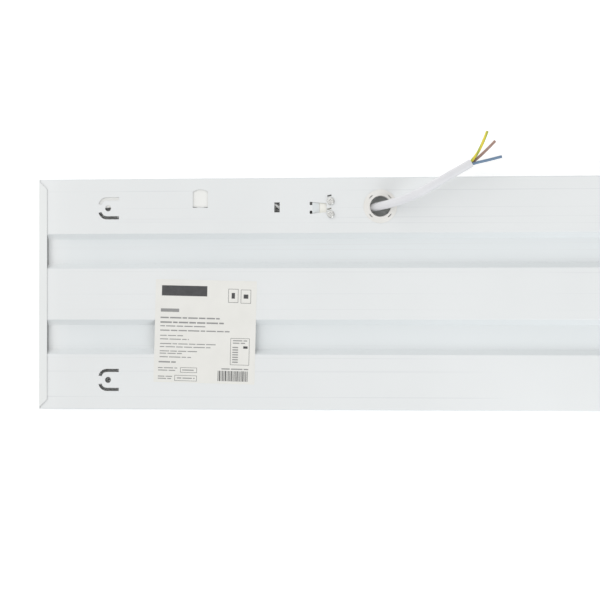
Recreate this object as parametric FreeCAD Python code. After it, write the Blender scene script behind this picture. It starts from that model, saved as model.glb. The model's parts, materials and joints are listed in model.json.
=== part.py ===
import FreeCAD, Part
import math
import os

# A slim recessed LED panel light, lying face down with its back upwards.
# X runs along the panel, Y across it and Z from the front rim, at zero, to the back.
# Lengths are in millimetres. A value named from_end is counted from the end at -X,
# and one named from_edge from the long edge at +Y.

V = FreeCAD.Vector

# Panel
panel_length = 1195.0
panel_width = 180.0
panel_depth = 19.0
sheet = 0.5
bend_radius = 0.6
fit_gap = 0.1

# Folded housing: two channels along the back, a crease near each long edge, front lips
channel_offset = 33.5
channel_floor = 19.0
channel_run = 4.0
channel_depth = 4.5
crease_inset = 10.0
crease_drop = 0.3
lip_width = 8.0
mitre_gap = 0.2
bead_depth = 1.6
bead_rise = 1.2
bead_flat = 0.6

# Diffuser
diffuser_thickness = 1.5
diffuser_play = 0.3

# End caps
cap_flange = 6.7
cap_flange_setback = 1.0
tab_length = 16.0
tab_bottom = 6.4
tab_height = 9.0
button_radius = 1.6
button_from_end = 11.0
button_clearance = 0.2

# Suspension tabs: a hole between two bent slots, near each corner of the back
hanger_from_end = 55.0
hanger_from_edge = 23.0
hanger_hole_radius = 2.35
hanger_slot_offset = 7.4
hanger_slot_width = 2.5
hanger_slot_reach = 8.5
hanger_bend_radius = 5.4
hanger_bend_centre = 1.0
hanger_bend_angle = 78.0

# Window over the driver, and the small rectangular hole beside it
window_from_end = 127.7
window_width = 11.8
window_from_edge = 22.8
window_height = 14.2
window_rise = 2.0
peephole_from_end = 187.5
peephole_from_edge = 23.0
peephole_length = 4.2
peephole_width = 7.7

# Cord anchorage: a pressed tongue and, past it in the same opening, a boss of the clamp that two screws hold
clamp_from_edge = 23.5
tongue_from_end = 214.9
tongue_length = 5.4
tongue_width = 8.4
tongue_neck = 4.4
tongue_ramp = 4.8
tongue_drop = 1.7
opening_length = 10.8
opening_tip_width = 6.6
opening_clearance = 0.15
boss_drop = 1.3
boss_gap = 0.2
notch_length = 2.0
notch_width = 2.4
screw_from_end = 229.2
screw_spread = 10.1
screw_radius = 1.45
screw_clearance = 0.2
screw_head_radius = 2.9
screw_head_height = 1.6
screw_slot_length = 3.0
screw_slot_width = 0.9
screw_slot_depth = 1.0
locator_length = 3.3
locator_width = 1.1
locator_lead = 1.1
locator_shift = 4.3
locator_tilt = 15.0
clamp_from_end = 217.5
clamp_length = 19.0
clamp_width = 18.0
clamp_gap = 2.4
clamp_bar_thickness = 3.6

# Snap bushing that the cord leaves by
bushing_from_end = 267.4
bushing_from_edge = 22.6
bushing_bore_radius = 8.0
bushing_wall = 1.3
bushing_flange_radius = 12.9
bushing_flat_radius = 11.0
bushing_flange_thickness = 1.2
bushing_rim_thickness = 0.4
bushing_mouth_round = 0.5
bushing_drop = 3.1
bushing_hole_radius = 10.6
bushing_arm_reach = 0.7
bushing_arm_thickness = 0.8
bushing_arm_angle = 18.0
bushing_arm_count = 4
bushing_slot_length = 0.65

# Mains cord and its cores
cord_diameter = 6.5
core_diameter = 2.2
core_spread = 1.35
core_straight = 4.5
inner_start_from_end = 206.0
inner_height = 9.4
inner_bend_radius = 16.0

# Rating label, left blank
label_width = 79.0
label_height = 80.0
label_thickness = 0.15
label_from_end = 131.4
label_offset = -29.3
label_turn = -1.4

# Light-emitting boards, two in line under each channel
board_width = 15.0
board_thickness = 1.0
board_end_gap = 14.0
board_joint = 4.0
led_count = 26
led_length = 3.5
led_width = 2.8
led_height = 0.75
connector_length = 7.0
connector_width = 5.0
connector_height = 2.2
connector_inset = 3.0
connector_pitch = 2.5
lead_diameter = 1.6
lead_straight = 5.0
wire_approach = 0.8
wire_depth = 4.0
link_outer = 7.5
link_inner = 4.8

# Driver
driver_from_end = 25.0
driver_length = 140.0
driver_width = 19.6
driver_height = 12.6
driver_wall = 1.2
driver_edge_gap = 2.2
driver_lid_thickness = 1.4
driver_lid_skirt = 2.0
driver_clearance = 0.15
driver_lug_length = 6.0
driver_lug_reach = 0.35
tape_thickness = 0.4
tape_width = 9.0
tape_inset = 1.5
tape_shares = (0.39, 0.81)
tape_length = 24.0
driver_post = 2.0
driver_post_radius = 1.4
driver_board_thickness = 1.2
terminal_length = 11.0
terminal_width = 11.5
terminal_height = 6.6
terminal_pitch = 5.0
terminal_proud = 1.5
transformer_length = 19.0
transformer_width = 13.0
transformer_height = 6.4
transformer_window = 3.0
transformer_core = 4.4
transformer_share = 0.45
choke_radius = 5.4
choke_width = 4.2
choke_height = 4.8
choke_ease = 1.0
choke_share = 0.72
capacitor_radius = 3.1
capacitor_length = 16.0
capacitor_spread = 7.4
capacitor_share = 0.18

# Earth point on the inside of the back
earth_from_end = 176.0
earth_stud_radius = 2.0
earth_stud_length = 8.0
earth_lug_radius = 4.0
earth_lug_thickness = 0.8
earth_lug_tail = 7.0
earth_barrel_length = 6.0
earth_nut_width = 7.0
earth_nut_height = 3.2
thread_clearance = 0.05

# Routes chosen by hand: the free cord from the bushing to its cut end, and its cores past that end,
# as (from_end, from_edge, z)
cord_route = [
    (267.4, 22.2, 17.2),
    (279.6, 20.4, 28.1),
    (297.0, 14.1, 33.8),
    (316.5, 2.6, 34.6),
    (336.0, -8.6, 32.0),
]
core_routes = {
    "core_earth": [(343.3, -19.6, 31.8), (348.3, -32.7, 31.2)],
    "core_live": [(346.9, -17.7, 30.0), (354.3, -25.5, 29.7)],
    "core_neutral": [(349.6, -11.0, 31.8), (359.1, -13.5, 31.3)],
}
# Inside the housing, the cores as (share of the way along X from the sheath to what they join, from_edge, z)
inner_core_routes = {
    "inner_core_live": [(0.28, 22.4, 7.6), (0.57, 14.5, 10.4)],
    "inner_core_neutral": [(0.23, 23.2, 12.6), (0.39, 23.8, 15.4), (0.595, 18.3, 15.8)],
    "inner_core_earth": [(0.49, 29.6, 13.6)],
}
# The driver's leads, as (from_end, share of the way across Y from the driver to the board, z)
output_lead_routes = {
    "output_lead_positive": [(16.0, 0.0, 12.7), (8.0, 0.17, 11.6), (7.5, 0.57, 11.4), (8.0, 0.89, 11.4)],
    "output_lead_negative": [(18.0, 0.0, 12.7), (12.0, 0.16, 11.6), (11.0, 0.55, 11.4), (11.2, 0.9, 11.4)],
}

# Heights, half sizes and places that follow from the values above
left = -panel_length / 2
half = panel_width / 2
back = panel_depth - sheet
under = back - sheet
ridge = under - channel_depth
channel_inner = channel_offset - channel_floor / 2
channel_outer = channel_offset + channel_floor / 2
diffuser_top = sheet + diffuser_thickness
bead_bottom = diffuser_top + diffuser_play
outer_bend = bend_radius + sheet
driver_top = under - tape_thickness
driver_bottom = driver_top - driver_height
driver_far = half - sheet - driver_edge_gap
driver_near = driver_far - driver_width
driver_x = left + driver_from_end
hanger_offset = half - hanger_from_edge
window_bottom = half - window_from_edge
peephole_offset = half - peephole_from_edge
clamp_offset = half - clamp_from_edge
bushing_offset = half - bushing_from_edge
earth_offset = (channel_outer + channel_run + driver_near) / 2
SMALL_TURN = math.radians(5)
CUT = 1.0


def box(x0, y0, z0, x1, y1, z1):
    return Part.makeBox(x1 - x0, y1 - y0, z1 - z0, V(x0, y0, z0))


def prism(points, z0, z1):
    """A plan outline of (x, y) points, raised from z0 to z1."""
    wire = Part.makePolygon([V(x, y, z0) for x, y in points + points[:1]])
    return Part.Face(wire).extrude(V(0, 0, z1 - z0))


def post(radius, x, y, z0, z1):
    return Part.makeCylinder(radius, z1 - z0, V(x, y, z0))


def turned(outline, degrees):
    """An (r, z) outline turned about Z through the given angle, half of it to each side of X."""
    points = [V(r, 0, z) for r, z in outline + outline[:1]]
    face = Part.Face(Part.makePolygon(points))
    face.rotate(V(0, 0, 0), V(0, 0, 1), -degrees / 2)
    return face.revolve(V(0, 0, 0), V(0, 0, 1), degrees)


def mirrored(shape, axis):
    return shape.mirror(V(0, 0, 0), axis)


def joined(shapes):
    whole = shapes[0].fuse(shapes[1:]) if len(shapes) > 1 else shapes[0]
    return whole.removeSplitter()


def turn_at(before, corner, after):
    return (corner - before).getAngle(after - corner)


def rounded_edges(points, radii):
    """Straight runs through the points, with a tangent arc of the given radius at each inner corner."""
    edges = []
    start = points[0]
    for before, corner, after, radius in zip(points, points[1:], points[2:], radii):
        turn = turn_at(before, corner, after)
        into = (corner - before).normalize()
        out = (after - corner).normalize()
        reach = radius * math.tan(turn / 2)
        first = corner - into * reach
        last = corner + out * reach
        bulge = radius * (1 / math.cos(turn / 2) - 1)
        middle = corner + (out - into).normalize() * bulge
        if (first - start).Length > 1e-6:
            edges.append(Part.LineSegment(start, first).toShape())
        edges.append(Part.Arc(first, middle, last).toShape())
        start = last
    edges.append(Part.LineSegment(start, points[-1]).toShape())
    return edges


def sheet_strip(outline, place, extrusion):
    """Folded sheet: a section outline of (a, b) points with the metal on its right, given length.

    Each fold has bend_radius on its inside, and a turn too slight to fold stays a crease.
    """
    flat = [V(a, b, 0) for a, b in outline]
    ways = [(q - p).normalize() for p, q in zip(flat, flat[1:])]
    rights = [V(w.y, -w.x, 0) for w in ways]
    inner = [flat[0] + rights[0] * sheet]
    for corner, one, two in zip(flat[1:-1], rights, rights[1:]):
        inner.append(corner + (one + two) * (sheet / (1 + one.dot(two))))
    inner.append(flat[-1] + rights[-1] * sheet)
    sides = []
    for line, grows in ((flat, 1), (inner, -1)):
        kept = [line[0]]
        radii = []
        runs = []
        for i in range(1, len(line) - 1):
            one, two = ways[i - 1], ways[i]
            if one.getAngle(two) < SMALL_TURN:
                kept.append(line[i])
                runs.append((kept, radii))
                kept = [line[i]]
                radii = []
                continue
            turns_in = one.x * two.y - one.y * two.x < 0
            radii.append(outer_bend if turns_in == (grows > 0) else bend_radius)
            kept.append(line[i])
        kept.append(line[-1])
        runs.append((kept, radii))
        sides.append([edge for kept, radii in runs for edge in rounded_edges(kept, radii)])
    ends = [Part.LineSegment(flat[0], inner[0]).toShape(), Part.LineSegment(flat[-1], inner[-1]).toShape()]
    wire = Part.Wire(Part.__sortEdges__(sides[0] + sides[1] + ends))
    face = Part.Face(wire)
    face.Placement = place
    return face.extrude(extrusion)


# Placements that turn a section's (a, b) into (y, z) or (x, z)
INTO_YZ = FreeCAD.Placement(V(0, 0, 0), FreeCAD.Rotation(V(1, 1, 1), 120))
INTO_XZ = FreeCAD.Placement(V(0, 0, 0), FreeCAD.Rotation(V(1, 0, 0), 90))


def tube(points, diameter, radii):
    """A round tube along straight runs and tangent arcs, with its length and tightest bend printed."""
    path = Part.Wire(rounded_edges(points, radii))
    circle = Part.Circle(points[0], points[1] - points[0], diameter / 2)
    solid = path.makePipeShell([Part.Wire(circle.toShape())], True, False)
    section = math.pi * diameter**2 / 4
    share = solid.Volume / (section * path.Length)
    print("tube", round(diameter, 2), "length", round(path.Length, 2), "volume share", round(share, 5),
          "radii", [round(r, 1) for r in radii])
    return solid


def easy_radii(points):
    """The largest bends that a route's runs allow."""
    radii = []
    for before, corner, after in zip(points, points[1:], points[2:]):
        shorter = min((corner - before).Length, (after - corner).Length)
        radii.append(0.45 * shorter / math.tan(turn_at(before, corner, after) / 2))
    return radii


# Housing
def housing_outline():
    """The outer side of the folded section, from one lip's edge over the back to the other's."""
    side = [
        (-half + lip_width, 0),
        (-half, 0),
        (-half, bead_bottom),
        (-half + bead_depth, bead_bottom + bead_rise),
        (-half + bead_depth, bead_bottom + bead_rise + bead_flat),
        (-half, bead_bottom + 2 * bead_rise + bead_flat),
        (-half, back - crease_drop),
        (-half + crease_inset, back),
        (-channel_outer - channel_run, back),
        (-channel_outer, back - channel_depth),
        (-channel_inner, back - channel_depth),
        (-channel_inner + channel_run, back),
    ]
    return side + [(-y, z) for y, z in reversed(side)]


def lip_mitre():
    """What is cut from the lip at the corner at -X, -Y, beside the end cap's front flange."""
    fold = outer_bend
    past = lip_width + CUT
    outline = [(0, fold), (fold + mitre_gap, fold), (past + mitre_gap, past), (0, past)]
    return prism([(left + u, -half + v) for u, v in outline], -CUT, sheet + CUT / 10)


def hanger_slot():
    """The slot on the +Y side of a suspension hole at the origin, with the tab's root towards +X."""
    outer = hanger_slot_offset + hanger_slot_width / 2
    inner = hanger_slot_offset - hanger_slot_width / 2
    centre = V(-hanger_bend_centre, hanger_slot_offset - hanger_bend_radius, 0)
    angles = [math.radians(90 + hanger_bend_angle * share) for share in (0, 0.5, 1)]

    def on_arc(radius):
        return [centre + V(math.cos(a), math.sin(a), 0) * radius for a in angles]

    far = on_arc(outer - centre.y)
    near = on_arc(inner - centre.y)
    edges = [
        Part.LineSegment(V(hanger_slot_reach, outer, 0), far[0]).toShape(),
        Part.Arc(*far).toShape(),
        Part.LineSegment(far[-1], near[-1]).toShape(),
        Part.Arc(*reversed(near)).toShape(),
        Part.LineSegment(near[0], V(hanger_slot_reach, inner, 0)).toShape(),
        Part.LineSegment(V(hanger_slot_reach, inner, 0), V(hanger_slot_reach, outer, 0)).toShape(),
    ]
    return Part.Face(Part.Wire(edges)).extrude(V(0, 0, sheet + 2 * CUT))


def hanger_cuts():
    slot = hanger_slot()
    one = [slot, mirrored(slot, V(0, 1, 0)), post(hanger_hole_radius, 0, 0, 0, sheet + 2 * CUT)]
    cuts = []
    for shape in one:
        shape.translate(V(left + hanger_from_end, hanger_offset, under - CUT))
        cuts += [shape, mirrored(shape, V(0, 1, 0))]
    return cuts + [mirrored(shape, V(1, 0, 0)) for shape in cuts]


def window_cut():
    """An arched window, flat on the side towards the middle of the panel."""
    x0 = left + window_from_end - window_width / 2
    x1 = x0 + window_width
    spring = window_bottom + window_height - window_rise
    low = under - CUT
    corners = [V(x1, spring, low), V(x1, window_bottom, low), V(x0, window_bottom, low), V(x0, spring, low)]
    edges = [Part.LineSegment(p, q).toShape() for p, q in zip(corners, corners[1:])]
    top = V((x0 + x1) / 2, spring + window_rise, low)
    edges.append(Part.Arc(corners[-1], top, corners[0]).toShape())
    return Part.Face(Part.Wire(edges)).extrude(V(0, 0, sheet + 2 * CUT))


def opening_plan(spare):
    """The outline of the tongue and the boss together, widened by spare on each side and at the tip."""
    root = left + tongue_from_end
    tip = root + opening_length + spare
    wide = tongue_width / 2 + spare
    narrow = opening_tip_width / 2 + spare
    return [(root, clamp_offset - wide), (tip, clamp_offset - narrow),
            (tip, clamp_offset + narrow), (root, clamp_offset + wide)]


def screw_places():
    return [(left + screw_from_end, clamp_offset + side * screw_spread / 2) for side in (-1, 1)]


def anchorage_cuts():
    """The opening for the tongue and the boss, its relief notches, the screw holes and their locating slots."""
    low, high = under - CUT, back + CUT
    root = left + tongue_from_end
    cuts = [prism(opening_plan(opening_clearance), low, high)]
    for side in (-1, 1):
        near = clamp_offset + side * tongue_neck / 2
        far = near + side * notch_width
        cuts.append(box(root - notch_length, min(near, far), low, root + CUT / 10, max(near, far), high))
    cuts += [post(screw_radius + screw_clearance, x, y, low, high) for x, y in screw_places()]
    return cuts + locator_slots(low, high)


def locator_slots(low, high):
    """A short slanted slot beside each screw."""
    slots = []
    for x, y in screw_places():
        slot = box(-locator_length / 2, -locator_width / 2, low, locator_length / 2, locator_width / 2, high)
        slot.rotate(V(0, 0, 0), V(0, 0, 1), locator_tilt)
        slot.translate(V(x - locator_lead, y + locator_shift, 0))
        slots.append(slot)
    return slots


def tongue():
    """The strip left standing in that opening, pressed in past its neck."""
    root = left + tongue_from_end
    tip = root + tongue_length
    outline = [(root - notch_length, back), (root, back), (root + tongue_ramp, back - tongue_drop),
               (tip, back - tongue_drop)]
    strip = sheet_strip(outline, INTO_XZ, V(0, tongue_width, 0))
    strip.translate(V(0, clamp_offset - tongue_width / 2, 0))
    neck = box(root - notch_length, clamp_offset - tongue_neck / 2, under - tongue_drop - CUT,
               root, clamp_offset + tongue_neck / 2, back + CUT)
    blade = prism(opening_plan(0), under - tongue_drop - CUT, back + CUT)
    return strip.common(neck.fuse(blade))


def housing():
    end = left + sheet + bend_radius + fit_gap
    body = sheet_strip(housing_outline(), INTO_YZ, V(-2 * end, 0, 0))
    body.translate(V(end, 0, 0))
    mitre = lip_mitre()
    mitres = [mitre, mirrored(mitre, V(0, 1, 0))]
    mitres += [mirrored(shape, V(1, 0, 0)) for shape in mitres]
    back_cuts = hanger_cuts() + [window_cut()] + anchorage_cuts()
    peep_x = left + peephole_from_end
    back_cuts.append(box(peep_x - peephole_length / 2, peephole_offset - peephole_width / 2, under - CUT,
                         peep_x + peephole_length / 2, peephole_offset + peephole_width / 2, back + CUT))
    bushing_x = left + bushing_from_end
    back_cuts.append(post(bushing_hole_radius, bushing_x, bushing_offset, under - CUT, back + CUT))
    button_start = V(left + button_from_end, -half - CUT, tab_bottom + tab_height / 2)
    button_hole = Part.makeCylinder(button_radius + button_clearance, panel_width + 2 * CUT,
                                    button_start, V(0, 1, 0))
    button_holes = [button_hole, mirrored(button_hole, V(1, 0, 0))]
    return joined([body.cut(mitres + back_cuts + button_holes), tongue()])


# End caps
def end_cap():
    """The cap at -X: a channel of sheet whose flanges lie over the back and in line with the front lips.

    Its side tabs are folded inside the housing's walls, where a half-sheared button on each catches in a hole.
    """
    outline = [(left + lip_width, 0), (left, 0), (left, panel_depth), (left + cap_flange, panel_depth)]
    body = sheet_strip(outline, INTO_XZ, V(0, panel_width, 0))
    body.translate(V(0, -half, 0))
    tab_top = tab_bottom + tab_height
    tab_face = half - sheet - fit_gap
    past = max(lip_width, cap_flange) + CUT
    cuts = []
    tabs = []
    for side in (-1, 1):
        edge = side * half
        front = [(0, mitre_gap), (past, past + mitre_gap), (past, -CUT), (0, -CUT)]
        rear = [(0, cap_flange_setback), (past, past + cap_flange_setback), (past, -CUT), (0, -CUT)]
        cuts.append(prism([(left + u, edge - side * v) for u, v in front], -CUT, sheet))
        cuts.append(prism([(left + u, edge - side * v) for u, v in rear], back, panel_depth + CUT))
        inside = tab_face - 2 * outer_bend
        cuts.append(box(left - CUT, min(side * inside, edge + side), tab_bottom,
                        left + outer_bend, max(side * inside, edge + side), tab_top))
        corner = [(left, side * inside), (left, side * tab_face), (left + tab_length, side * tab_face)]
        tabs.append(folded_tab(corner if side > 0 else corner[::-1], tab_bottom, tab_top))
        tabs.append(button(side, tab_face))
    dimples = [button_dimple(side, tab_face) for side in (-1, 1)]
    return joined([body.cut(cuts)] + tabs).cut(dimples)


def folded_tab(outline, z0, z1):
    tab = sheet_strip(outline, FreeCAD.Placement(), V(0, 0, z1 - z0))
    tab.translate(V(0, 0, z0))
    return tab


def button(side, face):
    start = V(left + button_from_end, side * (face - sheet / 2), tab_bottom + tab_height / 2)
    return Part.makeCylinder(button_radius, sheet, start, V(0, side, 0))


def button_dimple(side, face):
    start = V(left + button_from_end, side * (face - sheet - CUT), tab_bottom + tab_height / 2)
    return Part.makeCylinder(button_radius - sheet / 2, CUT + sheet / 2, start, V(0, side, 0))


# Diffuser
def diffuser():
    clear = sheet + bend_radius + fit_gap
    return box(left + clear, -half + clear, sheet, -left - clear, half - clear, diffuser_top)


# Light-emitting boards
board_length = (panel_length - 2 * board_end_gap - board_joint) / 2
board_bottom = ridge - board_thickness
connector_reach = connector_inset + connector_length / 2
connector_shift = -board_width / 2 + connector_width / 2
wire_height = board_bottom - connector_height / 2


def board_rows():
    """Each board's start in X and the middle of its channel in Y."""
    starts = [left + board_end_gap, board_joint / 2]
    return [(x, y) for y in (channel_offset, -channel_offset) for x in starts]


def led_board(x, y):
    return box(x, y - board_width / 2, board_bottom, x + board_length, y + board_width / 2, ridge)


def led_packages(x, y):
    pitch = board_length / led_count
    packages = []
    for i in range(led_count):
        middle = x + pitch * (i + 0.5)
        packages.append(box(middle - led_length / 2, y - led_width / 2, board_bottom - led_height,
                            middle + led_length / 2, y + led_width / 2, board_bottom))
    return Part.makeCompound(packages)


def poles(y):
    """Where a connector's two wires enter it, in Y."""
    return [y + connector_shift + side * connector_pitch / 2 for side in (-1, 1)]


def wire_hole(x, y, way):
    return Part.makeCylinder(lead_diameter / 2 + fit_gap, wire_depth, V(x, y, wire_height), V(way, 0, 0))


def board_connectors():
    """A wire connector near each end of every board, with its wire holes towards that end."""
    blocks = []
    for x, y in board_rows():
        for middle, way in ((x + connector_reach, 1), (x + board_length - connector_reach, -1)):
            face = middle - way * connector_length / 2
            block = box(middle - connector_length / 2, y + connector_shift - connector_width / 2,
                        board_bottom - connector_height, middle + connector_length / 2,
                        y + connector_shift + connector_width / 2, board_bottom)
            blocks.append(block.cut([wire_hole(face, pole, way) for pole in poles(y)]))
    return Part.makeCompound(blocks)


def board_link_leads():
    """Straight jumpers between the boards of a channel, and two wires round the end to the other channel."""
    leads = []
    reach = board_joint / 2 + connector_inset + wire_depth - fit_gap
    for y in (channel_offset, -channel_offset):
        for pole in poles(y):
            start = V(-reach, pole, wire_height)
            leads.append(Part.makeCylinder(lead_diameter / 2, 2 * reach, start, V(1, 0, 0)))
    face = -left - board_end_gap - connector_inset
    upper = poles(channel_offset)
    lower = poles(-channel_offset)
    for near, far, out in ((upper[1], lower[0], link_outer), (upper[0], lower[1], link_inner)):
        plan = [(-wire_depth + fit_gap, near), (out / 2, near), (out, near - out),
                (out, far + out), (out / 2, far), (-wire_depth + fit_gap, far)]
        route = [V(face + x, y, wire_height) for x, y in plan]
        leads.append(tube(route, lead_diameter, easy_radii(route)))
    return Part.makeCompound(leads)


# Driver
tray_top = driver_top - driver_lid_thickness
driver_floor = driver_bottom + driver_wall
driver_board_top = driver_floor + driver_post + driver_board_thickness
driver_middle = (driver_near + driver_far) / 2
driver_end = driver_x + driver_length
terminal_wire_height = driver_board_top + terminal_height / 2


def driver_cavity(inset, z0, z1):
    return box(driver_x + inset, driver_near + inset, z0, driver_end - inset, driver_far - inset, z1)


def terminal_gap(z0):
    """The room for both terminals, through the end walls and up."""
    reach = terminal_width / 2 + driver_clearance
    return box(driver_x - CUT, driver_middle - reach, z0,
               driver_end + CUT, driver_middle + reach, driver_top - CUT)


def driver_posts():
    """Posts under the driver's board, near its corners and half way along it."""
    inset = driver_wall + 2 * driver_post_radius
    along = [driver_x + inset, driver_x + driver_length / 2, driver_end - inset]
    across = [driver_near + inset, driver_far - inset]
    height = driver_floor + driver_post
    return [post(driver_post_radius, x, y, driver_bottom, height) for x in along for y in across]


def driver_tray():
    shell = box(driver_x, driver_near, driver_bottom, driver_end, driver_far, tray_top)
    edges = [e for e in shell.Edges if abs(e.tangentAt(e.FirstParameter).z) > 0.9]
    shell = shell.makeFillet(driver_wall, edges).cut(driver_cavity(driver_wall, driver_floor, driver_top))
    return joined([shell.cut(terminal_gap(driver_board_top))] + driver_posts())


def driver_lid():
    """The lid, with a skirt inside the tray and a lug on the edge that the window shows."""
    plate = box(driver_x, driver_near, tray_top, driver_end, driver_far, driver_top)
    edges = [e for e in plate.Edges if abs(e.tangentAt(e.FirstParameter).z) > 0.9]
    plate = plate.makeFillet(driver_wall, edges)
    fit = driver_wall + driver_clearance
    low = tray_top - driver_lid_skirt
    skirt = driver_cavity(fit, low, tray_top).cut(driver_cavity(fit + driver_wall, low, tray_top))
    lug_x = left + window_from_end - driver_lug_length / 2
    lug = box(lug_x, driver_near - driver_lug_reach, tray_top,
              lug_x + driver_lug_length, driver_near, driver_top)
    return joined([plate, lug] + skirt.cut(terminal_gap(low)).Solids)


def driver_tape():
    y0 = driver_near + tape_inset
    pads = []
    for share in tape_shares:
        x0 = driver_x + share * driver_length
        pads.append(box(x0, y0, driver_top, x0 + tape_length, y0 + tape_width, under))
    return Part.makeCompound(pads)


def driver_board():
    low = driver_floor + driver_post
    return driver_cavity(driver_wall + 2 * driver_clearance, low, driver_board_top)


def driver_terminal(face, way, wire_radius):
    """A two-pole terminal whose wires enter at face, with a release opening over each wire."""
    back_face = face + way * terminal_length
    block = box(min(face, back_face), driver_middle - terminal_width / 2, driver_board_top,
                max(face, back_face), driver_middle + terminal_width / 2, driver_board_top + terminal_height)
    cuts = []
    for pole in terminal_poles():
        start = V(face, pole, terminal_wire_height)
        cuts.append(Part.makeCylinder(wire_radius + fit_gap, wire_depth, start, V(way, 0, 0)))
        release = face + way * (wire_depth + terminal_length) / 2
        cuts.append(post(wire_radius, release, pole, terminal_wire_height, driver_top))
    return block.cut(cuts)


def terminal_poles():
    return [driver_middle + side * terminal_pitch / 2 for side in (-1, 1)]


terminal_out_face = driver_x - terminal_proud
terminal_in_face = driver_end + terminal_proud


def transformer_place():
    """The lower corner of the transformer's core, on the driver's board."""
    return driver_x + driver_length * transformer_share, driver_middle - transformer_width / 2, driver_board_top


def transformer_core_shape():
    x, y, z = transformer_place()
    block = box(x, y, z, x + transformer_length, y + transformer_width, z + transformer_height)
    cuts = []
    for side in (-1, 1):
        middle = x + transformer_length / 2 + side * (transformer_core + transformer_window) / 2
        cuts.append(box(middle - transformer_window / 2, y + transformer_window, z - CUT,
                        middle + transformer_window / 2, y + transformer_width - transformer_window,
                        z + transformer_height + CUT))
    return block.cut(cuts)


def transformer_coil_shape():
    """The winding round the middle leg, filling both windows of the core."""
    x, y, z = transformer_place()
    middle = x + transformer_length / 2
    reach = transformer_core / 2 + transformer_window - driver_clearance
    leg = transformer_core / 2 + driver_clearance
    y0 = y + transformer_window + driver_clearance
    y1 = y + transformer_width - transformer_window - driver_clearance
    coils = [box(middle - reach, y0, z, middle - leg, y1, z + transformer_height),
             box(middle + leg, y0, z, middle + reach, y1, z + transformer_height)]
    return Part.makeCompound(coils)


def driver_choke():
    """A wound ring, lying flat, with its winding's edges eased."""
    bore = choke_radius - choke_width
    ring = turned([(bore, choke_ease), (bore + choke_ease, 0), (choke_radius - choke_ease, 0),
                   (choke_radius, choke_ease), (choke_radius, choke_height - choke_ease),
                   (choke_radius - choke_ease, choke_height), (bore + choke_ease, choke_height),
                   (bore, choke_height - choke_ease)], 360)
    ring.translate(V(driver_x + driver_length * choke_share, driver_middle, driver_board_top))
    return ring


def driver_capacitors():
    cans = []
    for side in (-1, 1):
        start = V(driver_x + driver_length * capacitor_share, driver_middle + side * capacitor_spread / 2,
                  driver_board_top + capacitor_radius)
        can = Part.makeCylinder(capacitor_radius, capacitor_length, start, V(1, 0, 0))
        cans.append(can)
    return Part.makeCompound(cans)


# Earth point
earth_x = left + earth_from_end
lug_bottom = under - earth_lug_thickness
barrel_radius = core_diameter / 2 + sheet
barrel_height = under - barrel_radius - fit_gap


def earth_stud():
    return post(earth_stud_radius, earth_x, earth_offset, under - earth_stud_length, under)


def earth_lug():
    """A ring on the stud, with a crimped barrel for the earth core."""
    ring = post(earth_lug_radius, earth_x, earth_offset, lug_bottom, under)
    tail_end = earth_x + earth_lug_tail
    tail = box(earth_x, earth_offset - barrel_radius, lug_bottom, tail_end, earth_offset + barrel_radius, under)
    start = V(earth_x + earth_lug_radius + sheet, earth_offset, barrel_height)
    barrel = Part.makeCylinder(barrel_radius, earth_barrel_length, start, V(1, 0, 0))
    bore = Part.makeCylinder(core_diameter / 2 + thread_clearance, earth_barrel_length, start, V(1, 0, 0))
    hole = post(earth_stud_radius + fit_gap, earth_x, earth_offset, lug_bottom - CUT, under + CUT)
    return joined([ring, tail, barrel]).cut([bore, hole])


def earth_nut():
    radius = earth_nut_width / 2 / math.cos(math.pi / 6)
    corners = []
    for i in range(6):
        angle = math.pi / 3 * i
        corners.append((earth_x + radius * math.cos(angle), earth_offset + radius * math.sin(angle)))
    block = prism(corners, lug_bottom - earth_nut_height, lug_bottom)
    bore = earth_stud_radius + thread_clearance
    return block.cut(post(bore, earth_x, earth_offset, lug_bottom - earth_nut_height - CUT, under))


# Cord, clamp and bushing
def place(point):
    from_end, from_edge, z = point
    return V(left + from_end, half - from_edge, z)


cord_points = [place(p) for p in cord_route]
cord_end = cord_points[-1]
cord_axis = (cord_points[-1] - cord_points[-2]).normalize()
exit_run = cord_points[1] - cord_points[0]
inner_corner = cord_points[0] - exit_run * ((cord_points[0].z - inner_height) / exit_run.z)
inner_start = V(left + inner_start_from_end, inner_corner.y, inner_height)


def mains_cord():
    return tube(cord_points, cord_diameter, easy_radii(cord_points))


def mains_cord_inner():
    """The stretch that the clamp holds, level and then bent up into the bushing, to the free cord."""
    return tube([inner_start, inner_corner, cord_points[0]], cord_diameter, [inner_bend_radius])


def core_starts(middle, axis):
    """The middles of the three cores at an end of the sheath, with live below the other two."""
    side = axis.cross(V(0, 0, 1)).normalize()
    up = side.cross(axis)
    turns = {"earth": 150, "live": 270, "neutral": 30}
    starts = {}
    for name, degrees in turns.items():
        angle = math.radians(degrees)
        starts[name] = middle + (side * math.cos(angle) + up * math.sin(angle)) * core_spread
    return starts


def outer_cores():
    starts = core_starts(cord_end, cord_axis)
    cores = {}
    for name, route in core_routes.items():
        start = starts[name.split("_")[-1]]
        points = [start, start + cord_axis * core_straight] + [place(p) for p in route]
        cores[name] = tube(points, core_diameter, easy_radii(points))
    return cores


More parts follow.
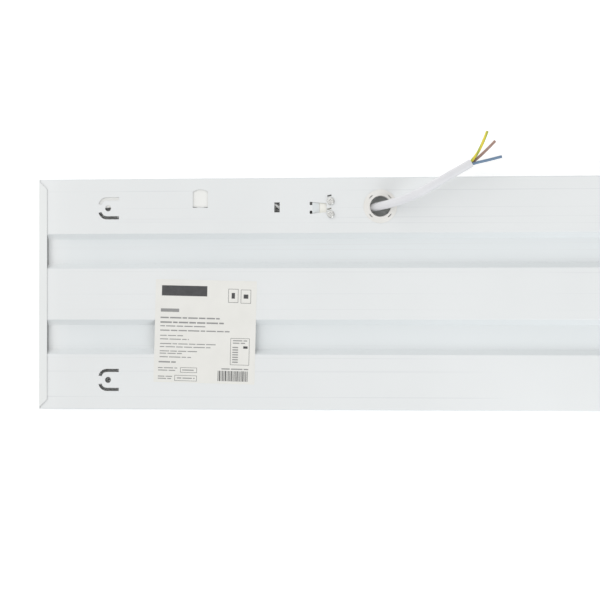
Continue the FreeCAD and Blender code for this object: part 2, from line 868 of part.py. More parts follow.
def inner_cores():
    """The cores from the clamped end to the driver's terminal and the earth lug, straight where they go in."""
    axis = V(-1, 0, 0)
    starts = core_starts(inner_start, axis)
    poles_in = terminal_poles()
    deep = wire_depth - fit_gap
    barrel_mouth = earth_x + earth_lug_radius + sheet + earth_barrel_length
    mouths = {
        "live": V(terminal_in_face, poles_in[1], terminal_wire_height),
        "neutral": V(terminal_in_face, poles_in[0], terminal_wire_height),
        "earth": V(barrel_mouth, earth_offset, barrel_height),
    }
    cores = {}
    for name, route in inner_core_routes.items():
        last = name.split("_")[-1]
        start = starts[last]
        mouth = mouths[last]
        way = mouth.x - start.x
        points = [start, start + axis * core_straight]
        points += [V(start.x + share * way, half - from_edge, z) for share, from_edge, z in route]
        points += [V(start.x + wire_approach * way, mouth.y, mouth.z), mouth + axis * deep]
        cores[name] = tube(points, core_diameter, easy_radii(points))
    return cores


def output_leads():
    """The driver's leads, round its end to the first board's connector."""
    poles_out = terminal_poles()
    deep = wire_depth - fit_gap
    face = left + board_end_gap + connector_inset
    board_poles = poles(channel_offset)
    ends = {
        "output_lead_positive": (poles_out[1], board_poles[0]),
        "output_lead_negative": (poles_out[0], board_poles[1]),
    }
    leads = {}
    for name, route in output_lead_routes.items():
        start, end = ends[name]
        points = [V(terminal_out_face + deep, start, terminal_wire_height)]
        points += [V(left + from_end, start + share * (end - start), z) for from_end, share, z in route]
        points += [V(face - lead_straight, end, wire_height), V(face + deep, end, wire_height)]
        leads[name] = tube(points, lead_diameter, easy_radii(points))
    return leads


def cord_groove():
    start = V(left + clamp_from_end - CUT, clamp_offset, inner_height)
    return Part.makeCylinder(cord_diameter / 2 + thread_clearance, clamp_length + 2 * CUT, start, V(1, 0, 0))


def clamp_block(z0, z1):
    x0 = left + clamp_from_end
    y0 = clamp_offset - clamp_width / 2
    block = box(x0, y0, z0, x0 + clamp_length, y0 + clamp_width, z1)
    edges = [e for e in block.Edges if abs(e.tangentAt(e.FirstParameter).z) > 0.9]
    return block.makeFillet(driver_wall, edges)


def cord_clamp_base():
    """The fixed half of the clamp, under the back.

    It has a bed for the tongue, and past that a boss that stands up into the opening.
    """
    block = clamp_block(inner_height + clamp_gap / 2, under)
    bed = under - tongue_drop - fit_gap
    room = prism(opening_plan(2 * opening_clearance), bed, under + CUT)
    boss_start = left + tongue_from_end + tongue_length + boss_gap
    boss = prism(opening_plan(0), bed - CUT, back - boss_drop)
    boss = boss.common(box(boss_start, clamp_offset - tongue_width, 0, boss_start + opening_length,
                           clamp_offset + tongue_width, panel_depth))
    holes = [post(screw_radius + screw_clearance, x, y, 0, panel_depth) for x, y in screw_places()]
    pockets = locator_slots(bed - opening_clearance, under + CUT)
    return joined([block.cut(room), boss]).cut([cord_groove()] + holes + pockets)


def cord_clamp_bar():
    """The loose half, drawn up against the cord by the screws."""
    top = inner_height - clamp_gap / 2
    block = clamp_block(top - clamp_bar_thickness, top)
    holes = [post(screw_radius + thread_clearance, x, y, 0, panel_depth) for x, y in screw_places()]
    return block.cut([cord_groove()] + holes)


def clamp_screws():
    """Pan-head screws with a cross recess, from outside the back into the clamp's bar."""
    screws = []
    tip = inner_height - clamp_gap / 2 - clamp_bar_thickness + sheet
    for x, y in screw_places():
        head = post(screw_head_radius, x, y, back, back + screw_head_height)
        rim = [e for e in head.Edges if len(e.Vertexes) == 1 and e.BoundBox.ZMin > back]
        head = head.makeFillet(screw_head_height / 2, rim)
        top = back + screw_head_height
        floor = top - screw_slot_depth
        cross = [box(x - screw_slot_length / 2, y - screw_slot_width / 2, floor,
                     x + screw_slot_length / 2, y + screw_slot_width / 2, top + CUT),
                 box(x - screw_slot_width / 2, y - screw_slot_length / 2, floor,
                     x + screw_slot_width / 2, y + screw_slot_length / 2, top + CUT)]
        screws.append(joined([head, post(screw_radius, x, y, tip, back)]).cut(cross))
    return Part.makeCompound(screws)


def cord_bushing():
    """A snap bushing: a flanged sleeve with four spring arms that catch under the sheet.

    Over each arm the flange has a slot.
    """
    bore = bushing_bore_radius
    sleeve = bore + bushing_wall
    top = back + bushing_flange_thickness
    bottom = under - bushing_drop
    rim = bushing_flange_radius
    ease = bushing_mouth_round
    body = turned([(bore, bottom), (sleeve, bottom), (sleeve, back), (rim, back),
                   (rim, back + bushing_rim_thickness), (bushing_flat_radius, top),
                   (bore + ease, top), (bore, top - ease)], 360)
    tip = bushing_hole_radius + bushing_arm_reach
    catch = under - fit_gap
    thick = bushing_arm_thickness
    arm = turned([(sleeve - thick / 2, bottom), (sleeve, bottom), (tip, catch - thick), (tip, catch),
                  (tip - thick, catch), (sleeve - thick / 2, bottom + thick)], bushing_arm_angle)
    slot_end = bushing_hole_radius
    slot = turned([(slot_end - bushing_slot_length, back - CUT), (slot_end, back - CUT),
                   (slot_end, top + CUT), (slot_end - bushing_slot_length, top + CUT)], bushing_arm_angle)
    arms = []
    slots = []
    for i in range(bushing_arm_count):
        angle = 360 / bushing_arm_count * (i + 0.5)
        for shape, group in ((arm, arms), (slot, slots)):
            copy = shape.copy()
            copy.rotate(V(0, 0, 0), V(0, 0, 1), angle)
            group.append(copy)
    whole = joined([body] + arms).cut(slots)
    whole.translate(V(left + bushing_from_end, bushing_offset, 0))
    return whole


# Label
def rating_label():
    """A blank sticker, flat on the back and across one channel."""
    label = box(-label_width / 2, -label_height / 2, back,
                label_width / 2, label_height / 2, back + label_thickness)
    label.rotate(V(0, 0, 0), V(0, 0, 1), label_turn)
    label.translate(V(left + label_from_end, label_offset, 0))
    return label


def all_nodes():
    nodes = {
        "housing": housing(),
        "end_cap_left": end_cap(),
        "end_cap_right": mirrored(end_cap(), V(1, 0, 0)),
        "diffuser": diffuser(),
        "rating_label": rating_label(),
    }
    for number, (x, y) in enumerate(board_rows(), 1):
        nodes["led_board_%d" % number] = led_board(x, y)
        nodes["led_packages_%d" % number] = led_packages(x, y)
    nodes["board_connectors"] = board_connectors()
    nodes["board_link_leads"] = board_link_leads()
    nodes["driver_tray"] = driver_tray()
    nodes["driver_lid"] = driver_lid()
    nodes["driver_tape"] = driver_tape()
    nodes["driver_board"] = driver_board()
    nodes["driver_input_terminal"] = driver_terminal(terminal_in_face, -1, core_diameter / 2)
    nodes["driver_output_terminal"] = driver_terminal(terminal_out_face, 1, lead_diameter / 2)
    nodes["driver_transformer_core"] = transformer_core_shape()
    nodes["driver_transformer_coil"] = transformer_coil_shape()
    nodes["driver_choke"] = driver_choke()
    nodes["driver_capacitors"] = driver_capacitors()
    nodes.update(output_leads())
    nodes["earth_stud"] = earth_stud()
    nodes["earth_lug"] = earth_lug()
    nodes["earth_nut"] = earth_nut()
    nodes.update(inner_cores())
    nodes["mains_cord_inner"] = mains_cord_inner()
    nodes["mains_cord"] = mains_cord()
    nodes.update(outer_cores())
    nodes["cord_clamp_base"] = cord_clamp_base()
    nodes["cord_clamp_bar"] = cord_clamp_bar()
    nodes["clamp_screws"] = clamp_screws()
    nodes["cord_bushing"] = cord_bushing()
    return nodes


if __name__ == "__main__":
    os.makedirs("parts", exist_ok=True)
    for name, shape in all_nodes().items():
        print(name, shape.isValid(), len(shape.Solids), round(shape.Volume, 1))
        shape.exportStep("parts/" + name + ".step")
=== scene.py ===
import json
import math

import bmesh
import bpy
from mathutils import Matrix, Vector


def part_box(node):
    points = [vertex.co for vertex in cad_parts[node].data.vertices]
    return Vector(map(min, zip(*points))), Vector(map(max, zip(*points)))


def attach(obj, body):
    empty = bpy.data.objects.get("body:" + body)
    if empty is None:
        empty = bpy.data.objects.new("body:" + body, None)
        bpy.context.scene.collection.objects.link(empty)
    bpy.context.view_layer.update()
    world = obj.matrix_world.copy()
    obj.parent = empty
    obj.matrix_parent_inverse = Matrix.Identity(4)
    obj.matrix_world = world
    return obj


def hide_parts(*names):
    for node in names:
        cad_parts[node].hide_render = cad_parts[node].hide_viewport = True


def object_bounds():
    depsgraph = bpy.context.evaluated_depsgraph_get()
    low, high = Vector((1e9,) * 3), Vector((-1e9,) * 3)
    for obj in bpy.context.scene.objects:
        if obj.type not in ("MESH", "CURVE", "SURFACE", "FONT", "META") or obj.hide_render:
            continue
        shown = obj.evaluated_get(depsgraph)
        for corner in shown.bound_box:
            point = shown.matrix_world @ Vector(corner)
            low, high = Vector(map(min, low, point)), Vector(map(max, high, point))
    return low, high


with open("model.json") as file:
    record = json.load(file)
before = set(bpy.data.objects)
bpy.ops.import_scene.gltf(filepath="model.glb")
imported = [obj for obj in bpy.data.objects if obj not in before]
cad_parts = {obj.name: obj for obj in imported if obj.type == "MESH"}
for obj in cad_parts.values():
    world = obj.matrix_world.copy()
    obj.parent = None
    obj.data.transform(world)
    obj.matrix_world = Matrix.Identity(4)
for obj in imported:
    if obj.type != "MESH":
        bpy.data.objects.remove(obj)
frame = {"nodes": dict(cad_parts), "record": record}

cad_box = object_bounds()
nodes = frame["nodes"]
scene = bpy.context.scene
MM = 0.001
UP = Vector((0, 0, 1))

# Places on the panel, in metres: along and across it from its middle, and up from its front rim
half_length = cad_box[1].x
half_width = -cad_box[0].y
back_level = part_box("housing")[1].z
flange_level = back_level - 0.05 * MM
under_flange_level = back_level - 0.2 * MM
strip_level = back_level - 0.3 * MM
channel_level = back_level - 4.3 * MM
flange_edge = half_length - 6.7 * MM
flange_bend = half_length - 1.2 * MM
crease_line = half_width - 10.0 * MM
channels_reach = 50.0 * MM

# The part of a noise's range over which gloss and most tones change, and the part for a coat's tones
NOISE_MIDDLE = (0.3, 0.7)
COAT_MIDDLE = (0.35, 0.65)

# Powder coat: patches, peel and worn places to a metre, and the peel's roughness and height
COAT_PATCHES = 9.0
COAT_PEEL = 750.0
COAT_WEAR = 7.0
COAT_ROUGHNESS = (0.38, 0.5)
PEEL_HEIGHT = 0.012 * MM

# Powder coat: how far a normal points up on faces of each kind
LOOKS_UP = 0.4
LEVEL = 0.96
UPRIGHT = 0.3
CAP_UPRIGHT = 0.2

# Powder coat: the painted light's reach from a flange and its share on the back, the painted crease shade's
# width, and the roll lines' stretch
END_REACH = 40.0 * MM
END_SHARE_ON_BACK = 0.35
CREASE_HALF_WIDTH = 0.3 * MM
ROLL_STRETCH = (0.3, 75.0, 0.0)


# Shader helpers
def tone(red, green, blue):
    """A colour given as 0 to 255 on screen, in the linear values that shaders take."""
    channels = []
    for value in (red, green, blue):
        share = value / 255
        channels.append(share / 12.92 if share <= 0.04045 else ((share + 0.055) / 1.055) ** 2.4)
    return (*channels, 1.0)


def grey(share):
    """A linear grey, from 0 for black to 1 for white."""
    return (share, share, share, 1.0)


def new_material(name):
    material = bpy.data.materials.new(name)
    material.use_nodes = True
    tree = material.node_tree
    return material, tree, tree.nodes["Principled BSDF"]


def coordinates(tree, scale=(1, 1, 1)):
    """The object's own coordinates in metres, stretched by scale."""
    source = tree.nodes.new("ShaderNodeTexCoord")
    mapping = tree.nodes.new("ShaderNodeMapping")
    mapping.inputs["Scale"].default_value = scale
    tree.links.new(source.outputs["Object"], mapping.inputs["Vector"])
    return mapping.outputs["Vector"]


def axes(tree, vector):
    node = tree.nodes.new("ShaderNodeSeparateXYZ")
    tree.links.new(vector, node.inputs["Vector"])
    return node.outputs


def noise(tree, vector, scale, detail=2.0, roughness=0.5):
    node = tree.nodes.new("ShaderNodeTexNoise")
    node.inputs["Scale"].default_value = scale
    node.inputs["Detail"].default_value = detail
    node.inputs["Roughness"].default_value = roughness
    tree.links.new(vector, node.inputs["Vector"])
    return node.outputs["Fac"]


def ramp(tree, factor, stops):
    """Colours along a factor, as (position, colour) stops."""
    node = tree.nodes.new("ShaderNodeValToRGB")
    elements = node.color_ramp.elements
    while len(elements) < len(stops):
        elements.new(0.5)
    for element, (position, colour) in zip(elements, stops):
        element.position = position
        element.color = colour
    tree.links.new(factor, node.inputs["Fac"])
    return node.outputs["Color"]


def shades(tree, factor, dark, light, middle):
    """Two screen tones of one finish, which change over the middle of a factor's range."""
    return ramp(tree, factor, [(middle[0], tone(*dark)), (middle[1], tone(*light))])


def mixed(tree, factor, low, high):
    """Two colours, mixed by a factor."""
    node = tree.nodes.new("ShaderNodeMix")
    node.data_type = "RGBA"
    tree.links.new(factor, node.inputs["Factor"])
    tree.links.new(low, node.inputs["A"])
    tree.links.new(high, node.inputs["B"])
    return node.outputs["Result"]


def mapped(tree, value, low, high, start=0.0, end=1.0):
    """A value that goes from start to end as the given one goes from low to high."""
    node = tree.nodes.new("ShaderNodeMapRange")
    for socket, number in (("From Min", low), ("From Max", high), ("To Min", start), ("To Max", end)):
        node.inputs[socket].default_value = number
    tree.links.new(value, node.inputs["Value"])
    return node.outputs["Result"]


def math_node(tree, operation, first, second=None):
    """A maths operation on one value, or on a value and a second value or number."""
    node = tree.nodes.new("ShaderNodeMath")
    node.operation = operation
    tree.links.new(first, node.inputs[0])
    if isinstance(second, float):
        node.inputs[1].default_value = second
    elif second is not None:
        tree.links.new(second, node.inputs[1])
    return node.outputs["Value"]


def above(tree, value, limit):
    return math_node(tree, "GREATER_THAN", value, limit)


def below(tree, value, limit):
    return math_node(tree, "LESS_THAN", value, limit)


def magnitude(tree, value):
    return math_node(tree, "ABSOLUTE", value)


def all_of(tree, first, *others):
    """The product of several factors."""
    product = first
    for other in others:
        product = math_node(tree, "MULTIPLY", product, other)
    return product


def grained(tree, shader, grain, roughness, height):
    """Gloss and bump that follow a fine grain of a height in metres."""
    gloss = mapped(tree, grain, *NOISE_MIDDLE, *roughness)
    bump = tree.nodes.new("ShaderNodeBump")
    bump.inputs["Distance"].default_value = height
    tree.links.new(grain, bump.inputs["Height"])
    tree.links.new(gloss, shader.inputs["Roughness"])
    tree.links.new(bump.outputs["Normal"], shader.inputs["Normal"])


# Materials of the moulded, painted and rolled surfaces
def surface(name, light, dark, patches, roughness, grains, height):
    """A surface whose colour varies in patches, with a fine grain in its gloss and bump.

    patches and grains are how many there are to a metre; height is the grain's, in millimetres.
    """
    material, tree, shader = new_material(name)
    place = coordinates(tree)
    cloud = noise(tree, place, patches, detail=3.0)
    fine = noise(tree, place, grains, detail=3.0, roughness=0.6)
    tree.links.new(shades(tree, cloud, dark, light, NOISE_MIDDLE), shader.inputs["Base Color"])
    grained(tree, shader, fine, roughness, height * MM)
    return material


# Each finish: light tone, dark tone, patches, range of roughness, grains, and the grain's height
core_grain = (200, (0.3, 0.42), 2600, 0.006)
lead_grain = (300, (0.32, 0.44), 2000, 0.006)
ink_grain = (300, (0.5, 0.62), 2400, 0.004)
finishes = {
    "cord_sheath": ((229, 229, 231), (224, 224, 227), 60, (0.36, 0.48), 1100, 0.01),
    "core_yellow": ((232, 214, 70), (222, 202, 58), *core_grain),
    "core_green": ((182, 192, 78), (166, 178, 66), *core_grain),
    "core_brown": ((174, 143, 132), (160, 128, 118), *core_grain),
    "core_blue": ((116, 142, 170), (102, 128, 156), *core_grain),
    "copper_strand": ((214, 150, 112), (186, 122, 88), 900, (0.25, 0.4), 6000, 0.004),
    "nylon_natural": ((244, 243, 237), (239, 238, 230), 150, (0.26, 0.38), 1500, 0.008),
    "nylon_white": ((234, 232, 228), (230, 228, 223), 120, (0.34, 0.46), 1300, 0.01),
    "opal_diffuser": ((244, 245, 244), (240, 241, 240), 20, (0.55, 0.7), 900, 0.01),
    "label_paper": ((236, 235, 230), (232, 231, 226), 70, (0.5, 0.62), 1800, 0.005),
    "ink_dark": ((78, 78, 79), (68, 68, 69), *ink_grain),
    "ink_grey": ((154, 154, 153), (144, 144, 143), *ink_grain),
    "board_mask": ((238, 239, 238), (232, 234, 233), 40, (0.35, 0.45), 1200, 0.006),
    "led_resin": ((240, 205, 90), (228, 188, 70), 400, (0.25, 0.4), 3000, 0.01),
    "connector_white": ((236, 235, 230), (229, 228, 222), 200, (0.35, 0.5), 1500, 0.01),
    "lead_white": ((232, 232, 230), (224, 224, 222), 200, (0.35, 0.45), 2000, 0.006),
    "lead_red": ((188, 52, 44), (168, 40, 34), *lead_grain),
    "lead_black": ((48, 48, 50), (36, 36, 38), *lead_grain),
    "driver_case": ((242, 242, 239), (238, 238, 235), 50, (0.38, 0.5), 1600, 0.012),
    "driver_laminate": ((206, 178, 116), (190, 160, 98), 120, (0.4, 0.55), 1400, 0.01),
    "foam_tape": ((228, 226, 218), (206, 204, 196), 700, (0.8, 0.95), 2400, 0.08),
    "terminal_grey": ((190, 192, 192), (178, 180, 181), 150, (0.4, 0.52), 1500, 0.01),
    "ferrite": ((62, 62, 64), (46, 46, 48), 500, (0.6, 0.8), 2200, 0.03),
    "coil_tape": ((226, 196, 62), (212, 178, 46), 200, (0.2, 0.34), 1500, 0.008),
    "enamelled_wire": ((190, 112, 62), (160, 84, 42), 900, (0.25, 0.4), 2600, 0.05),
    "capacitor_sleeve": ((54, 60, 78), (42, 47, 62), 200, (0.25, 0.4), 1500, 0.008),
    "plated_steel": ((224, 224, 221), (200, 200, 197), 900, (0.16, 0.26), 2600, 0.008),
    "tinned_copper": ((212, 210, 206), (192, 190, 186), 400, (0.28, 0.42), 2600, 0.008),
}
# What is the same all over a finish
constants = {
    "copper_strand": ("Metallic", 1.0),
    "enamelled_wire": ("Metallic", 0.8),
    "plated_steel": ("Metallic", 0.85),
    "tinned_copper": ("Metallic", 1.0),
    "opal_diffuser": ("Transmission Weight", 0.37),
}
looks = {name: surface(name, *values) for name, values in finishes.items()}
looks["core_green_yellow"] = looks["core_yellow"]
for name, (socket, value) in constants.items():
    looks[name].node_tree.nodes["Principled BSDF"].inputs[socket].default_value = value


# Powder coat of the housing and the end caps
def coat_material(name):
    """A coat with its orange peel, and the factors of its patches and its peel."""
    material, tree, shader = new_material(name)
    cloud = noise(tree, coordinates(tree), COAT_PATCHES, detail=3.0)
    peel = noise(tree, coordinates(tree), COAT_PEEL)
    grained(tree, shader, peel, COAT_ROUGHNESS, PEEL_HEIGHT)
    return material, tree, shader, cloud, peel


def place_and_facing(tree):
    """Where a point of a surface is, and which way its face looks, each with its X, Y and Z."""
    normal = tree.nodes.new("ShaderNodeNewGeometry").outputs["True Normal"]
    return axes(tree, coordinates(tree)), axes(tree, normal)


def crease_shade_and_roll_lines(tree, across):
    """A darker line at the creases as painted shade, and faint lines from rolling, both broken up in
    places.
    """
    off_crease = magnitude(tree, math_node(tree, "SUBTRACT", across, crease_line))
    at_crease = below(tree, off_crease, CREASE_HALF_WIDTH)
    contour = noise(tree, coordinates(tree, ROLL_STRETCH), 1.0, detail=0.0)
    rolled = ramp(tree, contour, [(0.485, grey(0.0)), (0.5, grey(0.7)), (0.515, grey(0.0))])
    wear = noise(tree, coordinates(tree), COAT_WEAR, detail=1.0)
    kept = ramp(tree, wear, [(0.42, grey(0.0)), (0.6, grey(1.0))])
    return all_of(tree, math_node(tree, "MAXIMUM", at_crease, rolled), kept)


def powder_coat():
    """The housing's white coat, with painted shade in the channels, on their walls and on upright sides.

    It is lighter near the ends, as painted light. The channels' ends, under the caps' flanges, take a steel
    grey as painted shade.
    """
    material, tree, shader, cloud, peel = coat_material("powder_coat")
    # The coat's own tone, on the back
    thick = shades(tree, cloud, (230, 232, 232), (233, 235, 235), COAT_MIDDLE)
    # A darker tone, painted shade for the channels and their sloping walls
    shaded_tone = shades(tree, cloud, (225, 229, 230), (228, 232, 233), COAT_MIDDLE)
    # A darker tone, painted shade on upright faces
    side = shades(tree, cloud, (214, 218, 219), (217, 221, 222), COAT_MIDDLE)
    # A lighter tone, painted light near the ends against the shade of the caps' flanges
    end_light_tone = shades(tree, cloud, (242, 244, 244), (245, 247, 247), COAT_MIDDLE)
    # A darker tone for the crease's painted shade and for the roll lines
    line = shades(tree, cloud, (221, 223, 224), (225, 227, 228), COAT_MIDDLE)
    # A steel grey, painted shade under the caps' flanges
    steel_and_shade_grey = shades(tree, peel, (178, 179, 180), (192, 193, 194), COAT_MIDDLE)
    place, facing = place_and_facing(tree)
    along = magnitude(tree, place["X"])
    across = magnitude(tree, place["Y"])
    # Painted shade: from the back's tone down to the darker one as the channels sink
    out_of_channel = mapped(tree, place["Z"], channel_level, strip_level)
    looks_up = above(tree, facing["Z"], LOOKS_UP)
    # Sloping faces, the channels' walls, take the darker tone as painted shade
    tilted = all_of(tree, looks_up, below(tree, facing["Z"], LEVEL))
    upright = below(tree, magnitude(tree, facing["Z"]), UPRIGHT)
    # Painted light: lighter towards the flanges, most in the channels, on faces that look up
    approach = mapped(tree, along, flange_edge - END_REACH, flange_edge)
    stops = [(0.0, grey(0.0)), (0.55, grey(0.2)), (0.75, grey(0.5)), (0.9, grey(1.0))]
    depth = mapped(tree, out_of_channel, 0.0, 1.0, 1.0, END_SHARE_ON_BACK)
    near_end = all_of(tree, ramp(tree, approach, stops), depth, looks_up)
    # The crease's painted shade and the roll lines
    crease_shade_and_roll = crease_shade_and_roll_lines(tree, across)
    # Painted shade: the channels' floors past the flange's edge and under it take the steel grey
    past_edge = above(tree, along, flange_edge)
    under_flange = below(tree, place["Z"], under_flange_level)
    under_flange_shade = all_of(tree, past_edge, under_flange, below(tree, across, channels_reach))
    colour = mixed(tree, out_of_channel, shaded_tone, thick)
    # Mixed in turn: painted shade on slopes, painted light near the ends, painted shade on upright faces,
    # the crease's painted shade and roll lines, and painted shade under the flanges
    for factor, other in ((tilted, shaded_tone), (near_end, end_light_tone), (upright, side), (crease_shade_and_roll, line), (under_flange_shade, steel_and_shade_grey)):
        colour = mixed(tree, factor, colour, other)
    tree.links.new(colour, shader.inputs["Base Color"])
    return material


def cap_coat():
    """The end caps' coat, with painted shade where upright and on the flange's bare edges over the back."""
    material, tree, shader, cloud, peel = coat_material("cap_coat")
    coat = shades(tree, cloud, (234, 236, 235), (237, 239, 238), COAT_MIDDLE)
    # A darker tone, painted shade on the caps' upright faces
    side = shades(tree, cloud, (215, 219, 219), (218, 222, 222), COAT_MIDDLE)
    # Dark grey of the flange's bare cut edges, darkened as painted shade of the gap under them
    steel_and_shade_grey = shades(tree, peel, (118, 119, 120), (146, 147, 148), COAT_MIDDLE)
    place, facing = place_and_facing(tree)
    upright = below(tree, magnitude(tree, facing["Z"]), CAP_UPRIGHT)
    over_back = above(tree, place["Z"], flange_level)
    inside = below(tree, magnitude(tree, place["X"]), flange_bend)
    # The flange's cut edges over the back: bare steel, with painted shade
    cut_edge_and_shade = all_of(tree, upright, over_back, inside)
    colour = mixed(tree, cut_edge_and_shade, mixed(tree, upright, coat, side), steel_and_shade_grey)
    tree.links.new(colour, shader.inputs["Base Color"])
    return material


looks["powder_coat"] = powder_coat()
for entry in frame["record"]["subparts"]:
    node_materials = nodes[entry["node"]].data.materials
    node_materials.clear()
    node_materials.append(looks[entry["material_slot"]])
end_coat = cap_coat()
for name in ("end_cap_left", "end_cap_right"):
    nodes[name].data.materials[0] = end_coat


# Geometry helpers
def add_piece(name, shape, materials):
    """A piece made of a finished shape, on the part's one body."""
    bmesh.ops.recalc_face_normals(shape, faces=shape.faces)
    mesh = bpy.data.meshes.new(name)
    shape.to_mesh(mesh)
    shape.free()
    piece = bpy.data.objects.new(name, mesh)
    scene.collection.objects.link(piece)
    for material in materials:
        mesh.materials.append(material)
    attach(piece, "root")
    return piece


def spline_curve(name, points):
    """A smooth curve with a route's points as its control points."""
    curve = bpy.data.curves.new(name, "CURVE")
    curve.dimensions = "3D"
    curve.resolution_u = 16
    spline = curve.splines.new("NURBS")
    spline.points.add(len(points) - 1)
    for handle, point in zip(spline.points, points):
        handle.co = (*point, 1.0)
    spline.order_u = 3
    spline.use_endpoint_u = True
    return curve


def spline_line(points):
    """The points along a route's smooth curve."""
    holder = bpy.data.objects.new("route", spline_curve("route", points))
    mesh = bpy.data.meshes.new_from_object(holder)
    line = [vertex.co.copy() for vertex in mesh.vertices]
    bpy.data.objects.remove(holder)
    bpy.data.meshes.remove(mesh)
    return line


def around(middle, ahead, radius, angle):
    """A point at an angle round a line that runs ahead through a middle, level with it at angle 0."""
    side = ahead.cross(UP).normalized()
    over = side.cross(ahead)
    return middle + (side * math.cos(angle) + over * math.sin(angle)) * radius


def add_ring(shape, middle, ahead, radius, count, start=0.0):
    """Vertices evenly round a line that runs ahead through a middle."""
    angles = [start + math.tau * step / count for step in range(count)]
    return [shape.verts.new(around(middle, ahead, radius, angle)) for angle in angles]


def join_rings(shape, near, far):
    """The band of faces between two rings."""
    faces = []
    for step in range(len(near)):
        after = (step + 1) % len(near)
        faces.append(shape.faces.new((near[step], near[after], far[after], far[step])))
    return faces


# Camera
camera = bpy.data.objects.new("camera", bpy.data.cameras.new("camera"))
camera.location = (-0.32227, -0.01064, 1.0185)
camera.rotation_euler = (0.00587, 0.06978, -0.00041)
camera.data.sensor_width = 36.0
camera.data.lens = 77.794
scene.collection.objects.link(camera)
scene.camera = camera

# Mains cord
cord_diameter = 6.5 * MM
cord_route = [
    Vector((-0.3301, 0.0678, 0.0172)),
    Vector((-0.3179, 0.0696, 0.0281)),
    Vector((-0.3005, 0.0759, 0.0338)),
    Vector((-0.2810, 0.0874, 0.0346)),
    Vector((-0.2615, 0.0986, 0.0320)),
]
sheath_curve = spline_curve("mains_cord", cord_route)
sheath_curve.bevel_depth = cord_diameter / 2
sheath_curve.bevel_resolution = 8
sheath_curve.use_fill_caps = True
sheath_curve.materials.append(looks["cord_sheath"])
mains_cord = bpy.data.objects.new("mains_cord_sheath", sheath_curve)
scene.collection.objects.link(mains_cord)
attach(mains_cord, "root")
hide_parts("mains_cord")

# Cores of the cord: their routes past the sheath, their slots, and their ground, stripe and strand colours
core_radius = 1.1 * MM
core_sides = 32
core_ring = 1.35 * MM
core_straight = 1.6 * MM
core_routes = {
    "core_earth": [Vector((-0.2542, 0.1096, 0.0318)), Vector((-0.2492, 0.1227, 0.0312))],
    "core_live": [Vector((-0.2506, 0.1077, 0.0300)), Vector((-0.2432, 0.1155, 0.0297))],
    "core_neutral": [Vector((-0.2479, 0.1010, 0.0318)), Vector((-0.2384, 0.1035, 0.0313))],
}
core_angles = {"core_earth": 150, "core_live": 270, "core_neutral": 30}
core_colours = {
    "core_earth": ("core_yellow", "core_green", "copper_strand"),
    "core_live": ("core_brown", "core_brown", "copper_strand"),
    "core_neutral": ("core_blue", "core_blue", "copper_strand"),
}
GROUND, STRIPE, COPPER = range(3)
stripe_sides = 7
stripe_turns = 1.1

# Strands of a core, in a well in its cut end: one in the middle and the others round it
conductor_radius = 0.62 * MM
well_depth = 0.5 * MM
strand_count = 6
strand_sides = 8
strand_radius = 0.32 * conductor_radius
strand_ring = 0.65 * conductor_radius
strand_root = 0.48 * MM
long_reach = 0.12 * MM
short_reach = -0.05 * MM


def add_strands(shape, tip, ahead):
    """The strands at a core's tip, every third one cut shorter."""
    middles = [tip]
    for step in range(strand_count):
        middles.append(around(tip, ahead, strand_ring, math.tau * step / strand_count))
    for number, middle in enumerate(middles):
        reach = long_reach if number % 3 else short_reach
        inner = add_ring(shape, middle - ahead * strand_root, ahead, strand_radius, strand_sides)
        outer = add_ring(shape, middle + ahead * reach, ahead, strand_radius, strand_sides)
        for face in join_rings(shape, inner, outer):
            face.smooth = True
            face.material_index = COPPER
        shape.faces.new(outer).material_index = COPPER


def insulated_core(name, points, materials):
    """A core whose rings turn as they go, so that its stripes wind round it, with bare strand ends."""
    line = spline_line(points)
    last = len(line) - 1
    shape = bmesh.new()
    rings = []
    for index, point in enumerate(line):
        ahead = (line[min(index + 1, last)] - line[max(index - 1, 0)]).normalized()
        start = math.tau * stripe_turns * index / last
        rings.append(add_ring(shape, point, ahead, core_radius, core_sides, start))
    for near, far in zip(rings, rings[1:]):
        for step, face in enumerate(join_rings(shape, near, far)):
            face.smooth = True
            face.material_index = STRIPE if step % (core_sides // 2) < stripe_sides else GROUND
    tip = line[last]
    ahead = (tip - line[last - 1]).normalized()
    start = math.tau * stripe_turns
    lip = add_ring(shape, tip, ahead, conductor_radius, core_sides, start)
    well = add_ring(shape, tip - ahead * well_depth, ahead, conductor_radius, core_sides, start)
    join_rings(shape, rings[last], lip)
    join_rings(shape, lip, well)
    shape.faces.new(well).material_index = COPPER
    shape.faces.new(list(reversed(rings[0])))
    add_strands(shape, tip, ahead)
    return add_piece(name, shape, materials)


cord_end = cord_route[-1]
cord_axis = (cord_end - cord_route[-2]).normalized()
for core_name, route in core_routes.items():
    start = around(cord_end, cord_axis, core_ring, math.radians(core_angles[core_name]))
    points = [start, start + cord_axis * core_straight] + route
    materials = [looks[colour] for colour in core_colours[core_name]]
    core = insulated_core(core_name + "_insulation", points, materials)
    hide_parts(core_name)

